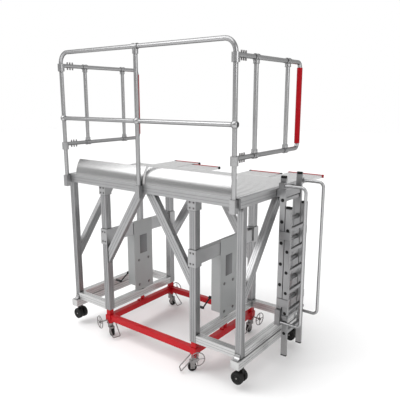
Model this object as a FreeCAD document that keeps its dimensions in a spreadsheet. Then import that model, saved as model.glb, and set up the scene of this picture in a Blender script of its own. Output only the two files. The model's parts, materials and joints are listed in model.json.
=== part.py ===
import FreeCAD, Part
import math
import os
import re

V = FreeCAD.Vector
UP = V(0, 0, 1)

doc = FreeCAD.newDocument("work_platform_bench")
dims = doc.addObject("Spreadsheet::Sheet", "Dims")

# Driving dimensions in millimetres. X runs along the deck, Y from the guard rail to the
# working edge, Z up from the floor; the model is built about the deck's middle in X and
# about the guard rail's posts in Y, and moved to the centre of its box at the end.
SIZES = (
    ("rail_span", 2000, "guard rail, end post to end post"),
    ("rail_r", 19, "guard rail and gate tube radius"),
    ("rail_wall", 2.5, "guard rail and gate tube wall"),
    ("rail_bend", 100, "guard rail corner, radius to the tube's axis"),
    ("rail_top", 1170, "top rail's axis above the deck"),
    ("rail_mid", 556, "middle rail's axis above the deck"),
    ("gate_top", 1052, "gate's upper tube above the deck"),
    ("gate_low", 304, "gate's lower tube above the deck"),
    ("gate_reach", 1025, "gate's end tube from its hinge"),
    ("gate_first", 286, "gate's first upright from its hinge"),
    ("gate_second", 800, "gate's second upright from its hinge"),
    ("gate_bend", 40, "gate corner, radius to the tube's axis"),
    ("sleeve_r", 24, "red sleeve on the gate's end tube"),
    ("toe_h", 157, "toe board height"),
    ("toe_t", 4, "toe board sheet"),
    ("deck_w", 2100, "deck, outside its side beams"),
    ("deck_front", 25, "deck's front face behind the rail posts' axes"),
    ("deck_rear", 1080, "deck's working edge behind the rail posts' axes"),
    ("deck_z", 1642, "walking surface above the floor"),
    ("frame_w", 50, "perimeter beam width"),
    ("frame_deep", 76, "perimeter beam height"),
    ("plank_t", 30, "plank thickness"),
    ("joist_w", 20, "joist between two pull-out boards"),
    ("tray_len", 800, "pull-out board length"),
    ("tray_t", 24, "pull-out board thickness"),
    ("tray_gap", 0.5, "play around a pull-out board"),
    ("bumper_w", 26, "buffer bar, front to back"),
    ("outer_w", 56, "outer post side"),
    ("outer_wall", 3, "outer post wall"),
    ("inner_w", 66, "inner post side"),
    ("inner_wall", 8, "inner post wall"),
    ("tower_w", 470, "outer post to inner post"),
    ("post_front", 94, "front posts behind the rail posts' axes"),
    ("post_span", 943, "front posts to rear posts"),
    ("ring_w", 62, "tower's bottom rail width"),
    ("ring_deep", 72, "tower's bottom rail height"),
    ("sill_w", 80, "sill beam width"),
    ("sill_deep", 72, "sill beam height"),
    ("sill_over", 74, "sill beam's end beyond the post axis"),
    ("section_wall", 3.5, "wall of the rails, sills and beams"),
    ("brace_w", 50, "brace width"),
    ("brace_deep", 80, "brace depth"),
    ("collar_z", 981, "lifting collar above the floor"),
    ("collar_h", 155, "lifting collar height"),
    ("collar_t", 9, "lifting collar wall"),
    ("arm_w", 60, "lifting arm width"),
    ("arm_h", 120, "lifting arm height"),
    ("jack_deep", 100, "jack housing, along X"),
    ("jack_w", 262, "jack housing, along Y"),
    ("jack_h", 565, "jack housing height below the arm"),
    ("jack_wall", 4, "jack housing wall"),
    ("screw_r", 14, "jack screw radius"),
    ("screw_top", 926, "jack screw's upper end above the floor"),
    ("crank_r", 130, "crank throw"),
    ("lift_down", 62, "corner castors clear of the floor"),
    ("castor_h", 152, "corner castor height"),
    ("castor_r", 56, "corner castor wheel radius"),
    ("castor_trail", 15, "corner castor trail"),
    ("leg_play", 0.3, "gap between a leg and its post"),
    ("leg_wall", 4, "leg wall"),
    ("leg_top", 976, "leg's upper end above the floor"),
    ("foot_w", 66, "chassis foot side"),
    ("foot_z", 138, "underside of the chassis foot"),
    ("chassis_w", 50, "chassis beam width"),
    ("chassis_deep", 58, "chassis beam height"),
    ("chassis_top", 226, "chassis beam's upper face"),
    ("roller_r", 40, "chassis castor wheel radius"),
    ("roller_w", 28, "chassis castor wheel width"),
    ("roller_trail", 25, "chassis castor trail"),
    ("hand_r", 62, "hand wheel rim radius"),
    ("hand_z", 171, "hand wheel's axis above the floor"),
    ("hand_out", 115, "hand wheel's rim from the leg axis"),
    ("pedal_len", 135, "pedal's reach from the leg axis"),
    ("stile_x", 50, "ladder stile depth"),
    ("stile_y", 25, "ladder stile thickness"),
    ("ladder_y", 740, "ladder's middle"),
    ("ladder_w", 295, "ladder, stile to stile"),
    ("ladder_off", 60, "fixed ladder's axis outside the deck's side"),
    ("ladder_step", 8, "gap between the fixed and the sliding stiles"),
    ("rung_pitch", 188, "rung spacing"),
    ("rung_deep", 28, "rung section"),
    ("upper_top", 92, "fixed ladder's top above the deck"),
    ("lower_foot", 145, "sliding ladder's feet above the floor"),
    ("grab_r", 13, "grab rail radius"),
    ("grab_out", 215, "grab rail's reach beyond the fixed ladder"),
    ("grab_up", 34, "grab rail above the deck"),
    ("grab_low", 453, "grab rail's lower end above the floor"),
    ("pin_r", 6, "small axle radius"),
    ("fit", 0.06, "radial running clearance"),
)
for row, (alias, value, note) in enumerate(SIZES, start=1):
    dims.set(f"A{row}", note)
    dims.set(f"B{row}", str(value))
    dims.setAlias(f"B{row}", alias)
origin_rows = len(SIZES) + 1
for row, alias in enumerate(("origin_x", "origin_y"), start=origin_rows):
    dims.set(f"A{row}", "centre of the whole object's box")
    dims.set(f"B{row}", "0")
    dims.setAlias(f"B{row}", alias)
doc.recompute()
WORDS = {alias for alias, _, _ in SIZES} | {"origin_x", "origin_y"}

# Places worked out from the driving dimensions.
OUT_X = "(deck_w / 2 - outer_w / 2 - 2)"
IN_X = f"({OUT_X} - tower_w)"
FRONT_Y = "post_front"
REAR_Y = "(post_front + post_span)"
MID_Y = "(post_front + post_span / 2)"
SILL_Z = "(castor_h + lift_down)"
RING_Z = f"({SILL_Z} + sill_deep)"
RING_TOP = f"({RING_Z} + ring_deep)"
FRAME_Z = "(deck_z - frame_deep)"
ARM_Z = "(collar_z + (collar_h - arm_h) / 2)"
BAY = "((deck_w - 2 * frame_w) / 5)"
TRAY_Z = "(deck_z - plank_t - tray_gap - tray_t)"
FIXED_X = "(deck_w / 2 + ladder_off)"
LADDER_PITCH = "(stile_x + ladder_step)"
SLIDING_X = f"({FIXED_X} + {LADDER_PITCH})"
LEG_W = "(inner_w - 2 * inner_wall - 2 * leg_play)"
SIDES = (-1, 1)


def tied(text):
    """The expression with each driving dimension written as a cell of the sheet."""
    return re.sub(r"[a-z_]\w*", lambda m: f"Dims.{m[0]}" if m[0] in WORDS else m[0], str(text))


def size(text):
    """The expression's value now, for shapes that Part's functions make."""
    known = {word: float(dims.get(word)) for word in WORDS if word in str(text)}
    code = str(text)
    for word in sorted(known, key=len, reverse=True):
        code = re.sub(rf"\b{word}\b", repr(known[word]), code)
    total = dims.evalExpression(code)
    return float(getattr(total, "Value", total))


def put(obj, x=0, y=0, z=0):
    for axis, text in zip("xyz", (x, y, z)):
        obj.setExpression(f"Placement.Base.{axis}", tied(text))
    return obj


def bind(obj, **sizes):
    for name, text in sizes.items():
        obj.setExpression(name, tied(text))
    return obj


def box(dx, dy, dz, x=0, y=0, z=0):
    """A block centred on x and y, standing on z."""
    obj = doc.addObject("Part::Box", "Block")
    bind(obj, Length=dx, Width=dy, Height=dz)
    return put(obj, f"{x} - ({dx}) / 2", f"{y} - ({dy}) / 2", z)


TURNS = {"x": FreeCAD.Rotation(V(0, 1, 0), 90), "y": FreeCAD.Rotation(V(1, 0, 0), -90),
         "z": FreeCAD.Rotation()}


def rod(along, radius, length, x=0, y=0, z=0):
    """A cylinder that starts at x, y, z and runs along an axis."""
    obj = doc.addObject("Part::Cylinder", "Rod")
    obj.Placement = FreeCAD.Placement(V(), TURNS[along])
    bind(obj, Radius=radius, Height=length)
    return put(obj, x, y, z)


def cut(base, *tools):
    obj = doc.addObject("Part::Cut", "Cut")
    obj.Base = base
    obj.Tool = tools[0] if len(tools) == 1 else fuse(*tools)
    return obj


def fuse(*shapes):
    obj = doc.addObject("Part::MultiFuse", "Fuse")
    obj.Shapes = list(shapes)
    obj.Refine = True
    return obj


def common(*shapes):
    obj = doc.addObject("Part::MultiCommon", "Common")
    obj.Shapes = list(shapes)
    return obj


def made(shape, name):
    """A document object for a shape that no primitive gives."""
    obj = doc.addObject("Part::Feature", name)
    obj.Shape = shape
    return obj


NODES = []


def node(label, *shapes, at=(0, 0, 0), yaw=0):
    """One named sub-part, made of one or more separate solids."""
    obj = doc.addObject("Part::Compound", "Node")
    obj.Links = list(shapes)
    obj.Label = label
    obj.Placement = FreeCAD.Placement(V(), FreeCAD.Rotation(UP, yaw))
    put(obj, f"{at[0]} - origin_x", f"{at[1]} - origin_y", at[2])
    NODES.append(obj)
    return obj


def grooved(a, b, wall, grooves=2, width=5, depth=1.5):
    """The section of an extruded profile: a hollow rectangle with long grooves outside."""
    a, b, wall = size(a), size(b), size(wall)
    corners = [V(-a / 2, -b / 2), V(a / 2, -b / 2), V(a / 2, b / 2), V(-a / 2, b / 2)]
    outline = []
    for first, last in zip(corners, corners[1:] + corners[:1]):
        run = last - first
        step = V(run).normalize()
        inward = V(-step.y, step.x)
        outline.append(first)
        for count in range(grooves):
            middle = first + run * (count + 1) / (grooves + 1)
            outline += [middle - step * width / 2, middle - step * width / 2 + inward * depth,
                        middle + step * width / 2 + inward * depth, middle + step * width / 2]
    wires = [Part.makePolygon(outline + outline[:1])]
    if wall:
        hollow = [V(p.x * (1 - 2 * wall / a), p.y * (1 - 2 * wall / b)) for p in corners]
        wires.append(Part.makePolygon(hollow + hollow[:1]))
    return made(Part.makeFace(wires, "Part::FaceMakerBullseye"), "Section")


# A section's first side lies along Y, X or Z, and its second along Z, Y or X, on a bar
# that runs along X, Z or Y.
BAR_TURNS = {"x": FreeCAD.Rotation(V(1, 1, 1), 120), "y": FreeCAD.Rotation(V(1, 1, 1), 240),
             "z": FreeCAD.Rotation()}


def bar(section, along, length, x=0, y=0, z=0):
    """A profile cut to length, starting at x, y, z on its own axis."""
    obj = doc.addObject("Part::Extrusion", "Bar")
    obj.Base = section
    obj.DirMode = "Custom"
    obj.Dir = UP
    obj.Solid = True
    obj.Placement = FreeCAD.Placement(V(), BAR_TURNS[along])
    bind(obj, LengthFwd=length)
    return put(obj, x, y, z)


def closed(beam, wide, deep, x, ends, low):
    """A beam along Y with a plug in each of its open ends."""
    return fuse(beam, *[box(f"{wide} - 6", 4, f"{deep} - 6", x, y, f"{low} + 3") for y in ends])


def sloped(section, axis, angle, length, x, y, z):
    """A profile that leans by an angle about X or Y, starting at x, y, z."""
    obj = bar(section, "z", length)
    obj.Placement = FreeCAD.Placement(V(), FreeCAD.Rotation(axis, 30))
    obj.setExpression("Placement.Rotation.Angle", tied(angle))
    return put(obj, x, y, z)


def bent_tube(points, bend, outer, inner=0):
    """A tube along straight runs that are joined by arcs of one radius."""
    points = [V(*p) for p in points]
    edges = []
    here = points[0]
    for before, corner, after in zip(points, points[1:], points[2:]):
        back = (before - corner).normalize()
        ahead = (after - corner).normalize()
        half = back.getAngle(ahead) / 2
        reach = bend / math.tan(half)
        centre = corner + (back + ahead).normalize() * (bend / math.sin(half))
        middle = centre + (corner - centre).normalize() * bend
        start, end = corner + back * reach, corner + ahead * reach
        edges += [Part.LineSegment(here, start).toShape(), Part.Arc(start, middle, end).toShape()]
        here = end
    edges.append(Part.LineSegment(here, points[-1]).toShape())
    path = Part.Wire(edges)
    along = points[1] - points[0]

    def swept(radius):
        ring = Part.Wire([Part.Circle(points[0], along, radius).toShape()])
        return path.makePipeShell([ring], True, False)

    return swept(outer).cut(swept(inner)) if inner else swept(outer)


# --- Red chassis: beams, telescoping legs, jack screws -------------------------------------
beam_x = grooved("chassis_w", "chassis_deep", "section_wall", grooves=0)
beam_y = grooved("chassis_deep", "chassis_w", "section_wall", grooves=0)
BEAM_MID = "(chassis_top - chassis_deep / 2)"
chassis_beams = [bar(beam_x, "x", f"2 * {IN_X} - foot_w", f"foot_w / 2 - {IN_X}", y, BEAM_MID)
                 for y in (FRONT_Y, REAR_Y)]
chassis_beams += [bar(beam_y, "y", f"{REAR_Y} - {FRONT_Y} - foot_w", f"{side} * {IN_X}",
                      f"{FRONT_Y} + foot_w / 2", BEAM_MID) for side in SIDES]

leg_section = grooved(LEG_W, LEG_W, "leg_wall", grooves=0)
STEM_LEN = 45
STEM_R = 10
EAR_R = 4
EAR_Y = -18
EAR_Z = "(foot_z + 16)"
EAR_LEN = 14


def turned(yaw, *shapes):
    obj = doc.addObject("Part::Compound", "Turned")
    obj.Links = list(shapes)
    obj.Placement = FreeCAD.Placement(V(), FreeCAD.Rotation(UP, yaw))
    return obj


TURRET_H = "(chassis_top - chassis_deep - foot_z)"


def leg(hand_side, yaw):
    """A block with a leg on it, over a round turret. The castor's stem, the hand wheel's
    shaft and the pedal's two stub pins are in or on them, turned to that corner's yaw."""
    block = box("foot_w", "foot_w", "chassis_deep", z="chassis_top - chassis_deep")
    turret = rod("z", "foot_w / 2", TURRET_H, z="foot_z")
    ears = [rod("x", EAR_R, EAR_LEN + 5, x="foot_w / 2 - 5" if side > 0 else f"-foot_w / 2 - {EAR_LEN}",
                y=EAR_Y, z=EAR_Z) for side in SIDES]
    stem_hole = rod("z", f"{STEM_R} + fit", STEM_LEN, z="foot_z")
    shaft_hole = rod("x", "pin_r + fit", 40, x="foot_w / 2 - 20" if hand_side > 0 else "-foot_w / 2 - 20",
                     z="hand_z")
    post = bar(leg_section, "z", "leg_top - chassis_top", z="chassis_top")
    body = fuse(block, turret, post, turned(yaw, *ears))
    return cut(body, stem_hole, turned(yaw, shaft_hole))


def corner(left_right, front_rear):
    return f"{left_right} * {IN_X}", FRONT_Y if front_rear < 0 else REAR_Y, 0


# Each corner's castor, hand wheel and pedal are turned by its own yaw.
CORNERS = [("front_left", -1, -1), ("front_right", 1, -1), ("rear_left", -1, 1),
           ("rear_right", 1, 1)]
YAWS = {"front_left": 73, "front_right": -40, "rear_left": 90, "rear_right": -5}
HANDS = {"front_left": -1, "front_right": 1, "rear_left": 1, "rear_right": 1}
legs = []
for name, side, end in CORNERS:
    placed = doc.addObject("Part::Compound", "Leg")
    placed.Links = [leg(HANDS[name], YAWS[name])]
    legs.append(put(placed, *corner(side, end)))
node("chassis_legs", *legs)

BOSS_R = 20.5
bracket_base = 10
bosses = []
for side in SIDES:
    where = (f"{side} * {IN_X}", MID_Y, f"chassis_top + {bracket_base}")
    boss = cut(rod("z", BOSS_R, 45, *where), rod("z", "screw_r + fit", 45, *where))
    bosses.append(fuse(box("chassis_w", 110, bracket_base, *where[:2], "chassis_top"), boss))
node("chassis_beams", *chassis_beams, *bosses)
node("jack_screws", *[rod("z", "screw_r", f"screw_top - chassis_top - {bracket_base}",
                          f"{side} * {IN_X}", MID_Y, f"chassis_top + {bracket_base}")
                      for side in SIDES])

# --- Chassis castors, each about its own leg's axis ------------------------------------------
YOKE_Z = "(2 * roller_r + 4)"
CHEEK_T = 6
CHEEK_X = "(roller_w / 2 + 2)"
fork = fuse(
    rod("z", 28, f"foot_z - leg_play - {YOKE_Z} - 18", z=f"{YOKE_Z} + 18"),
    rod("z", STEM_R, STEM_LEN - 5, z="foot_z - leg_play"),
    box(f"2 * {CHEEK_X} + 2 * {CHEEK_T}", 66, 20, y="-roller_trail / 2 - 1", z=YOKE_Z),
    *[box(CHEEK_T, 40, f"{YOKE_Z} - roller_r + 12", f"{side} * ({CHEEK_X} + {CHEEK_T} / 2)",
          "-roller_trail", "roller_r - 12") for side in SIDES],
    rod("x", "pin_r", f"2 * {CHEEK_X} + 2 * {CHEEK_T} + 8", f"-{CHEEK_X} - {CHEEK_T} - 4",
        "-roller_trail", "roller_r"))
roller = cut(rod("x", "roller_r", "roller_w", "-roller_w / 2", "-roller_trail", "roller_r"),
             rod("x", "pin_r + fit", "roller_w", "-roller_w / 2", "-roller_trail", "roller_r"))

PEDAL_WIRE = 5
ARM_X = f"(foot_w / 2 + 2 + {PEDAL_WIRE})"
EYE_W = 2 * PEDAL_WIRE + 2
arm_x, ear_z = size(ARM_X), size(EAR_Z)
pedal_end = (-size("pedal_len"), 30)
pedal_wire = made(bent_tube(
    [(arm_x, EAR_Y, ear_z), (arm_x, *pedal_end), (-arm_x, *pedal_end), (-arm_x, EAR_Y, ear_z)],
    12, PEDAL_WIRE), "PedalWire")
eyes = [rod("x", 9, EYE_W, f"{side} * {ARM_X} - {EYE_W} / 2", EAR_Y, EAR_Z)
        for side in SIDES]
eye_holes = [rod("x", f"{EAR_R} + fit", EYE_W, f"{side} * {ARM_X} - {EYE_W} / 2", EAR_Y, EAR_Z)
             for side in SIDES]
pedal = cut(fuse(pedal_wire, *eyes), *eye_holes)


def hand_wheel(side):
    """A wire rim on four spokes, a hub and the shaft that goes into the foot."""
    rim = doc.addObject("Part::Torus", "Rim")
    rim.Placement = FreeCAD.Placement(V(), TURNS["x"])
    bind(rim, Radius1="hand_r", Radius2=4.5)
    put(rim, f"{side} * hand_out", 0, "hand_z")
    spokes = [rod(along, 3.5, "2 * hand_r", f"{side} * hand_out", *start)
              for along, start in (("y", ("-hand_r", "hand_z")), ("z", (0, "hand_z - hand_r")))]
    hub = rod("x", 13, 20, f"{side} * hand_out - 10", 0, "hand_z")
    shaft_len = "hand_out - foot_w / 2 + 15"
    start = "foot_w / 2 - 15" if side > 0 else "-hand_out"
    return fuse(rim, hub, rod("x", "pin_r", shaft_len, start, 0, "hand_z"), *spokes)


hand_wheels = {side: hand_wheel(side) for side in SIDES}
for name, side, end in CORNERS:
    where = {"at": corner(side, end), "yaw": YAWS[name]}
    node(f"chassis_castor_fork_{name}", fork, **where)
    node(f"chassis_castor_wheel_{name}", roller, **where)
    node(f"pedal_{name}", pedal, **where)
    node(f"hand_wheel_{name}", hand_wheels[HANDS[name]], **where)

# --- Towers: posts, bottom rails, sills -------------------------------------------------------
outer_section = grooved("outer_w", "outer_w", "outer_wall")
inner_section = grooved("inner_w", "inner_w", "inner_wall")
POST_LEN = f"{FRAME_Z} - {RING_Z}"
ENDS = (FRONT_Y, REAR_Y)
node("outer_posts", *[bar(outer_section, "z", POST_LEN, f"{side} * {OUT_X}", y, RING_Z)
                      for side in SIDES for y in ENDS])
node("inner_posts", *[bar(inner_section, "z", POST_LEN, f"{side} * {IN_X}", y, RING_Z)
                      for side in SIDES for y in ENDS])

ring_x = grooved("ring_w", "ring_deep", "section_wall")
ring_y = grooved("ring_deep", "ring_w", "section_wall")
RING_MID = f"({RING_Z} + ring_deep / 2)"
rings = []
for side in SIDES:
    low_x = f"{IN_X} + inner_w / 2" if side > 0 else f"outer_w / 2 - {OUT_X}"
    rings += [bar(ring_x, "x", "tower_w - inner_w / 2 - outer_w / 2", low_x, y, RING_MID)
              for y in ENDS]
    rings.append(bar(ring_y, "y", f"{REAR_Y} - {FRONT_Y} - outer_w", f"{side} * {OUT_X}",
                     f"{FRONT_Y} + outer_w / 2", RING_MID))
    inner_rail = bar(ring_y, "y", f"{REAR_Y} - {FRONT_Y} - inner_w", f"{side} * {IN_X}",
                     f"{FRONT_Y} + inner_w / 2", RING_MID)
    rings.append(cut(inner_rail, rod("z", BOSS_R + 1, "ring_deep", f"{side} * {IN_X}", MID_Y,
                                     RING_Z)))
node("tower_bottom_rails", *rings)

CASTOR_STEM = 10
CASTOR_Y = {-1: FRONT_Y, 1: REAR_Y}
sill_y = grooved("sill_deep", "sill_w", "section_wall")
sills = []
for side in SIDES:
    sill = bar(sill_y, "y", f"{REAR_Y} - {FRONT_Y} + 2 * sill_over", f"{side} * {OUT_X}",
               f"{FRONT_Y} - sill_over", f"{SILL_Z} + sill_deep / 2")
    holes = [rod("z", f"{CASTOR_STEM} + fit", 20, f"{side} * ({OUT_X} + castor_trail)", y, SILL_Z)
             for y in CASTOR_Y.values()]
    ends = (f"{FRONT_Y} - sill_over + 2", f"{REAR_Y} + sill_over - 2")
    sills.append(cut(closed(sill, "sill_w", "sill_deep", f"{side} * {OUT_X}", ends, SILL_Z), *holes))
node("sill_beams", *sills)

# Curved gussets stand on the sills against the outer posts; sleeves cap the inner posts.
GUSSET = 44
gussets = []
for side in SIDES:
    for end, y in zip(SIDES, ENDS):
        middle = f"{y} + {end} * (outer_w / 2 + {GUSSET} / 2)"
        edge = f"{y} + {end} * (outer_w / 2 + {GUSSET})"
        gussets.append(cut(box(46, GUSSET, GUSSET, f"{side} * {OUT_X}", middle, RING_Z),
                           rod("x", GUSSET - 5, 60, f"{side} * {OUT_X} - 30", edge,
                               f"{RING_Z} + {GUSSET}")))
HEAD_H = 88


def sleeve(side, y, z, height):
    """A square collar round an inner post."""
    outside = box("inner_w + 2 * collar_t", "inner_w + 2 * collar_t", height,
                  f"{side} * {IN_X}", y, z)
    return cut(outside, box("inner_w", "inner_w", height, f"{side} * {IN_X}", y, z))


heads = [sleeve(side, y, f"{FRAME_Z} - {HEAD_H}", HEAD_H) for side in SIDES for y in ENDS]
node("post_brackets", *gussets, *heads)

# --- Lifting yokes and jacks -------------------------------------------------------------------
yokes = []
for side in SIDES:
    arm = box("arm_w", f"{REAR_Y} - {FRONT_Y} - inner_w - 2 * collar_t", "arm_h",
              f"{side} * {IN_X}", MID_Y, ARM_Z)
    bore = box("arm_w - 8", f"{REAR_Y} - {FRONT_Y}", "arm_h - 8", f"{side} * {IN_X}", MID_Y,
               f"{ARM_Z} + 4")
    yokes.append(fuse(cut(arm, bore), *[sleeve(side, y, "collar_z", "collar_h") for y in ENDS]))
node("lifting_yokes", *yokes)

JACK_Z = f"({ARM_Z} - jack_h)"
PLATE_W = 270
PLATE_T = 6
CRANK_Z = f"({JACK_Z} + 105)"
CRANK_Y = f"({MID_Y} - 95)"
CRANK_SHAFT = 8
jacks = []
plates = []
for side in SIDES:
    jack_x = f"({side} * {IN_X} + arm_w / 2 - jack_deep / 2)"
    shell = box("jack_deep", "jack_w", "jack_h", jack_x, MID_Y, JACK_Z)
    hollow = box("jack_deep - 2 * jack_wall", "jack_w - 2 * jack_wall", "jack_h - 2 * jack_wall",
                 jack_x, MID_Y, f"{JACK_Z} + jack_wall")
    mouth = rod("z", "screw_r + leg_play", "jack_wall", f"{side} * {IN_X}", MID_Y, JACK_Z)
    window = rod("x", f"{CRANK_SHAFT} + fit", "jack_wall", f"{jack_x} - jack_deep / 2", CRANK_Y,
                 CRANK_Z)
    jacks.append(cut(shell, hollow, mouth, window))
    plate_x = f"({side} * {IN_X} + arm_w / 2 + {PLATE_T} / 2)"
    plates.append(box(PLATE_T, PLATE_W, f"{ARM_Z} + arm_h + 20 - {JACK_Z} + 60", plate_x, MID_Y,
                      f"{JACK_Z} - 60"))
node("jack_housings", *jacks, *plates)

# Each crank's throw hangs forwards and down; its grip points away from the housing.
THROW = math.radians(30)
CRANK_GAP = 40
for name, side in zip(("left", "right"), SIDES):
    face_x = f"({side} * {IN_X} + arm_w / 2 - jack_deep)"
    end_x = f"({face_x} - {CRANK_GAP})"
    tip = (f"{CRANK_Y} - crank_r * {math.cos(THROW)}", f"{CRANK_Z} - crank_r * {math.sin(THROW)}")
    shaft = rod("x", CRANK_SHAFT, f"{CRANK_GAP} + jack_wall + 16", end_x, CRANK_Y, CRANK_Z)
    throw = rod("z", 7, "crank_r", end_x, CRANK_Y, CRANK_Z)
    throw.Placement = FreeCAD.Placement(V(), FreeCAD.Rotation(V(1, 0, 0), 90 + math.degrees(THROW)))
    put(throw, end_x, CRANK_Y, CRANK_Z)
    grip = rod("x", 12, 76, f"{end_x} - 70", *tip)
    node(f"crank_{name}", fuse(shaft, throw, grip, rod("x", 14, 22, f"{end_x} - 11", CRANK_Y, CRANK_Z)))

# --- Corner castors: twin wheels on one axle ----------------------------------------------------
AXLE_Z = "(lift_down + castor_r)"
TWIN_GAP = 24
TWIN_W = 38
WHEEL_AXLE = 8


def twin_parts(side):
    """The hooded stem and the wheel pair of one corner castor, trailing towards the middle."""
    trail = f"(-{side} * castor_trail)"
    stem = fuse(
        rod("z", CASTOR_STEM, 18, z=SILL_Z + " - leg_play"),
        rod("z", 24, 8, z=f"{SILL_Z} - leg_play - 8"),
        box("castor_trail + 44", TWIN_GAP - 4, f"{SILL_Z} - leg_play - 8 - {AXLE_Z} + 12",
            f"{trail} / 2", 0, f"{AXLE_Z} - 12"),
        rod("y", WHEEL_AXLE, TWIN_GAP + 2 * TWIN_W - 8, trail, -(TWIN_GAP / 2 + TWIN_W - 4), AXLE_Z))
    wheels = [cut(rod("y", "castor_r", TWIN_W, trail, start, AXLE_Z),
                  rod("y", f"{WHEEL_AXLE} + fit", TWIN_W, trail, start, AXLE_Z))
              for start in (TWIN_GAP / 2, -TWIN_GAP / 2 - TWIN_W)]
    return stem, wheels


twins = {side: twin_parts(side) for side in SIDES}
for name, side, end in CORNERS:
    stem, wheels = twins[side]
    place = (f"{side} * ({OUT_X} + castor_trail)", CASTOR_Y[end], 0)
    node(f"corner_castor_fork_{name}", stem, at=place)
    node(f"corner_castor_wheels_{name}", *wheels, at=place)

# --- Deck: perimeter frame, joists, planks ------------------------------------------------------
frame_x = grooved("frame_w", "frame_deep", "section_wall")
frame_y = grooved("frame_deep", "frame_w", "section_wall")
FRAME_MID = "(deck_z - frame_deep / 2)"
INSIDE_W = "(deck_w - 2 * frame_w)"
REAR_SILL_H = f"({TRAY_Z} - tray_gap - {FRAME_Z})"
JOIST_H = f"({TRAY_Z} + tray_t + tray_gap - {FRAME_Z} - {REAR_SILL_H})"
side_beams = [closed(bar(frame_y, "y", "deck_rear - deck_front", x, "deck_front", FRAME_MID),
                     "frame_w", "frame_deep", x, ("deck_front + 2", "deck_rear - 2"), FRAME_Z)
              for x in (f"{side} * (deck_w - frame_w) / 2" for side in SIDES)]
front_beam = bar(frame_x, "x", INSIDE_W, f"-{INSIDE_W} / 2", "deck_front + frame_w / 2", FRAME_MID)
REAR_IN = f"min(deck_rear - frame_w; {REAR_Y})"
cross_beams = [box(INSIDE_W, wide, REAR_SILL_H, 0, y, FRAME_Z)
               for wide, y in ((f"deck_rear - {REAR_IN}", f"(deck_rear + {REAR_IN}) / 2"),
                               ("frame_w", MID_Y), ("frame_w", "deck_front + 2 * frame_w"))]
joists = [box("joist_w", "deck_rear - deck_front - frame_w", JOIST_H, f"{place} * {BAY}",
              "(deck_front + frame_w + deck_rear) / 2", f"{FRAME_Z} + {REAR_SILL_H}")
          for place in (-1.5, -0.5, 0.5, 1.5)]
node("deck_frame", *side_beams, front_beam, *cross_beams, *joists)

RIBS = 5
PLANKS = 4


def plank_section(width, thick, wall, cells=4, groove=12, depth=4):
    """A hollow plank seen end on, with ribs along the top of it."""
    pitch = width / RIBS
    top = [V(width / 2, thick)]
    for count in range(RIBS):
        x = width / 2 - pitch * (count + 0.5)
        top += [V(x + groove / 2, thick), V(x + groove / 2, thick - depth),
                V(x - groove / 2, thick - depth), V(x - groove / 2, thick)]
    outline = top + [V(-width / 2, thick), V(-width / 2, 0), V(width / 2, 0)]
    wires = [Part.makePolygon(outline + outline[:1])]
    cell = (width - wall * (cells + 1)) / cells
    for count in range(cells):
        left = -width / 2 + wall + count * (cell + wall)
        low, high = wall, thick - depth - wall
        loop = [V(left, low), V(left + cell, low), V(left + cell, high), V(left, high)]
        wires.append(Part.makePolygon(loop + loop[:1]))
    return made(Part.makeFace(wires, "Part::FaceMakerBullseye"), "PlankSection")


PLANK_W = f"((deck_rear - deck_front - frame_w) / {PLANKS})"
plank = plank_section(size(PLANK_W) - 1, size("plank_t"), 3)
planks = [bar(plank, "x", INSIDE_W, f"-{INSIDE_W} / 2", f"deck_rear - ({place} + 0.5) * {PLANK_W}",
              "deck_z - plank_t") for place in range(PLANKS)]
node("deck_planks", *planks)

# --- Pull-out boards with buffer bars, each pulled out by its own amount -------------------------
PULLED = {"one": 579, "two": 434, "three": 0, "four": 434, "five": 579}
TRAY_W = f"({BAY} - joist_w - 2 * tray_gap)"
for place, (name, pulled) in zip((-2, -1, 0, 1, 2), PULLED.items()):
    x = f"{place} * {BAY}"
    rear = f"(deck_rear + 1 + {pulled})"
    shell = box(TRAY_W, "tray_len", "tray_t", x, f"{rear} - tray_len / 2", TRAY_Z)
    core = box(f"{TRAY_W} - 6", "tray_len + 10", "tray_t - 6", x, f"{rear} - tray_len / 2",
               f"{TRAY_Z} + 3")
    ribs = [box(TRAY_W, 12, 1.5, x, f"{rear} - {25 + 50 * count}", f"{TRAY_Z} + tray_t - 1.5")
            for count in range(12)]
    node(f"pull_out_board_{name}", cut(shell, core, *ribs))
    bumper = box(f"{BAY} - 2", "bumper_w", "tray_t + 7", x, f"{rear} + bumper_w / 2", f"{TRAY_Z} - 1")
    node(f"buffer_bar_{name}", bumper)

# --- Guard rail: bent hoop, middle post and middle rail, held in sockets -------------------------
half = size("rail_span") / 2
rail_r, rail_in = size("rail_r"), size("rail_r - rail_wall")
SOCKET_Z = f"({FRAME_Z} - 40)"
top_z, foot = size("deck_z + rail_top"), size(SOCKET_Z) + 6
hoop = made(bent_tube([(-half, 0, foot), (-half, 0, top_z), (half, 0, top_z), (half, 0, foot)],
                      size("rail_bend"), rail_r, rail_in), "Hoop")
MID_Z = "(deck_z + rail_mid)"


def tube(along, length, x=0, y=0, z=0, radius="rail_r", wall="rail_wall"):
    outer = rod(along, radius, length, x, y, z)
    return cut(outer, rod(along, f"{radius} - {wall}", length, x, y, z))


GAP = "(rail_r + 2)"
middle_post = tube("z", f"deck_z + rail_top - {GAP} - {SOCKET_Z} - 6", 0, 0, f"{SOCKET_Z} + 6")
mid_rails = [tube("x", f"rail_span / 2 - 2 * {GAP}",
                  f"{GAP}" if side > 0 else f"{GAP} - rail_span / 2", 0, MID_Z)
             for side in SIDES]
node("guard_rail", hoop, middle_post, *mid_rails)


def ball(x, z):
    obj = doc.addObject("Part::Sphere", "Ball")
    bind(obj, Radius="rail_r + 13")
    return put(obj, x, 0, z)


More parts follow.
